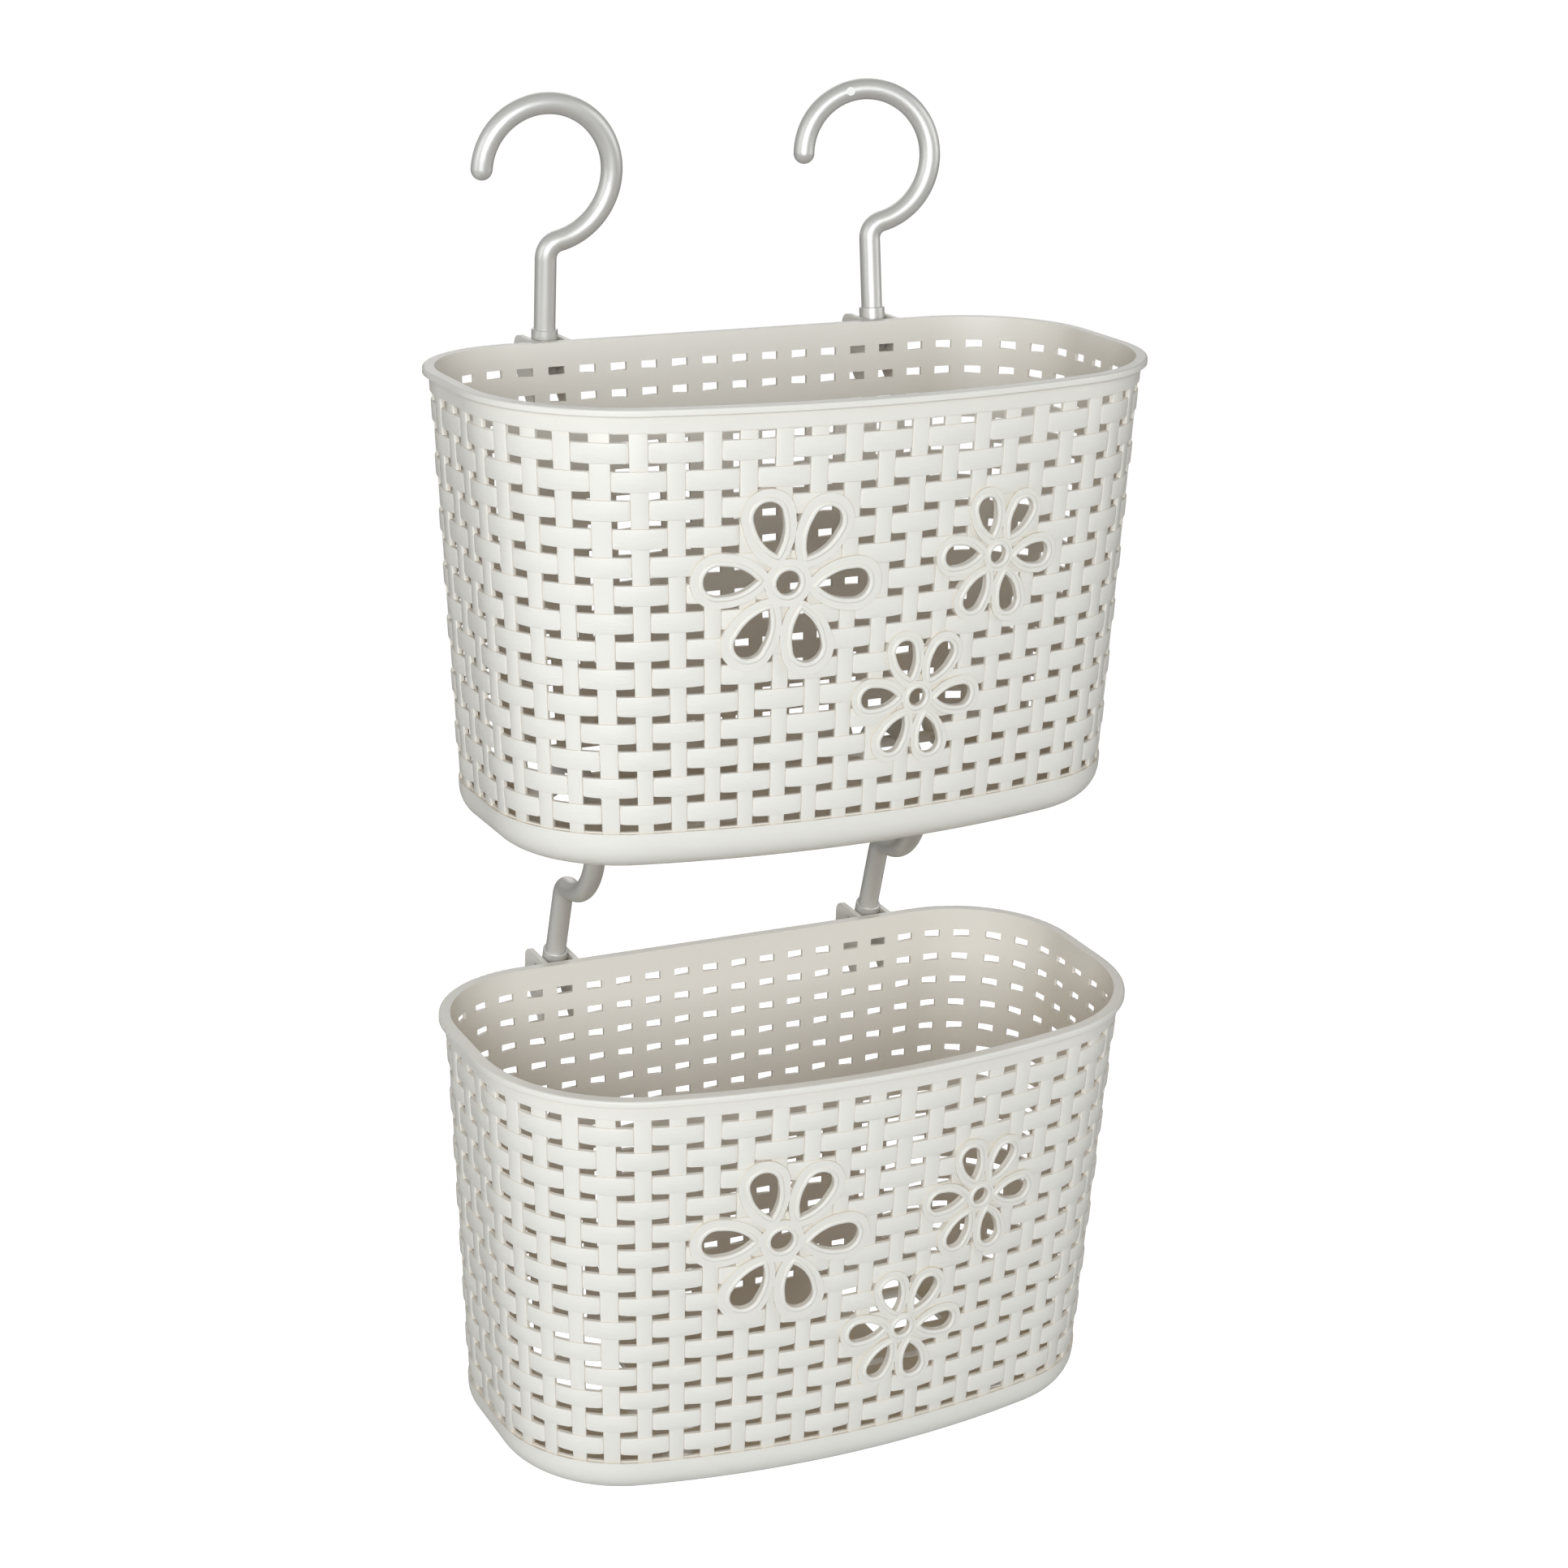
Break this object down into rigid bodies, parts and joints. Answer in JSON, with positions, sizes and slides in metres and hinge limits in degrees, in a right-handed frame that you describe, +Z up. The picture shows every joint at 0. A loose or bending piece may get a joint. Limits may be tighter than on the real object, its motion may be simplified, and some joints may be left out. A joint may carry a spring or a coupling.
{
  "type": "two-tier hanging shower caddy",
  "caption": "Two-tier hanging shower caddy: two woven-pattern baskets with flower cut-outs, joined and hung by four swivel hooks.",
  "frame": {"origin": "middle of the line on which the two upper hook loops bear on the rail, with the hooks upright", "axes": "+Z up, against gravity; -Y towards the user, away from the wall; +X along the rail, to the user's right"},
  "size_m": [0.265, 0.1758, 0.5031],
  "materials": {
    "basket_plastic": "satin",
    "hook_plastic": "satin silver"
  },
  "bodies": {
    "upper_basket": {"upper_basket": "basket_plastic"},
    "lower_basket": {"lower_basket": "basket_plastic"},
    "upper_left_barrel": {"upper_left_barrel": "hook_plastic"},
    "upper_left_hook": {"upper_left_hook": "hook_plastic"},
    "upper_right_barrel": {"upper_right_barrel": "hook_plastic"},
    "upper_right_hook": {"upper_right_hook": "hook_plastic"},
    "lower_left_barrel": {"lower_left_barrel": "hook_plastic"},
    "lower_left_hook": {"lower_left_hook": "hook_plastic"},
    "lower_right_barrel": {"lower_right_barrel": "hook_plastic"},
    "lower_right_hook": {"lower_right_hook": "hook_plastic"}
  },
  "joints": [
    {"name": "upper_left_tilt", "type": "hinge", "parent": "upper_basket", "child": "upper_left_barrel", "pos_m": [-0.0684, 0, -0.0872], "axis": [1, 0, 0], "range_deg": [-69.2, 16]},
    {"name": "upper_left_swivel", "type": "hinge", "parent": "upper_left_barrel", "child": "upper_left_hook", "pos_m": [-0.0684, 0, -0.0872], "axis": [0, -0.0558, 0.9984], "continuous": true},
    {"name": "upper_right_tilt", "type": "hinge", "parent": "upper_basket", "child": "upper_right_barrel", "pos_m": [0.0684, 0, -0.0872], "axis": [1, 0, 0], "range_deg": [-59, 26.2]},
    {"name": "upper_right_swivel", "type": "hinge", "parent": "upper_right_barrel", "child": "upper_right_hook", "pos_m": [0.0684, 0, -0.0872], "axis": [0, 0.1219, 0.9925], "continuous": true},
    {"name": "tier_swing", "type": "hinge", "parent": "upper_basket", "child": "lower_left_barrel", "pos_m": [-0.0684, -0.02584, -0.2472], "axis": [1, 0, 0], "range_deg": [-8, 0]},
    {"name": "tier_swing_right", "type": "hinge", "parent": "upper_basket", "child": "lower_right_barrel", "pos_m": [0.0684, -0.02584, -0.2472], "axis": [1, 0, 0], "range_deg": [-8, 0]},
    {"name": "lower_basket_tilt", "type": "hinge", "parent": "lower_left_barrel", "child": "lower_basket", "pos_m": [-0.0684, -0.0064, -0.32884], "axis": [1, 0, 0], "range_deg": [-4.1, 80]},
    {"name": "lower_left_swivel", "type": "hinge", "parent": "lower_left_barrel", "child": "lower_left_hook", "pos_m": [-0.0684, -0.0064, -0.32884], "axis": [0, -0.2924, 0.9563], "range_deg": [-25, 27]},
    {"name": "lower_right_swivel", "type": "hinge", "parent": "lower_right_barrel", "child": "lower_right_hook", "pos_m": [0.0684, -0.0064, -0.32884], "axis": [0, -0.2924, 0.9563], "range_deg": [-25, 27]}
  ],
  "couplings": [
    {"joint": "tier_swing_right", "follows": "tier_swing", "ratio": 1}
  ]
}
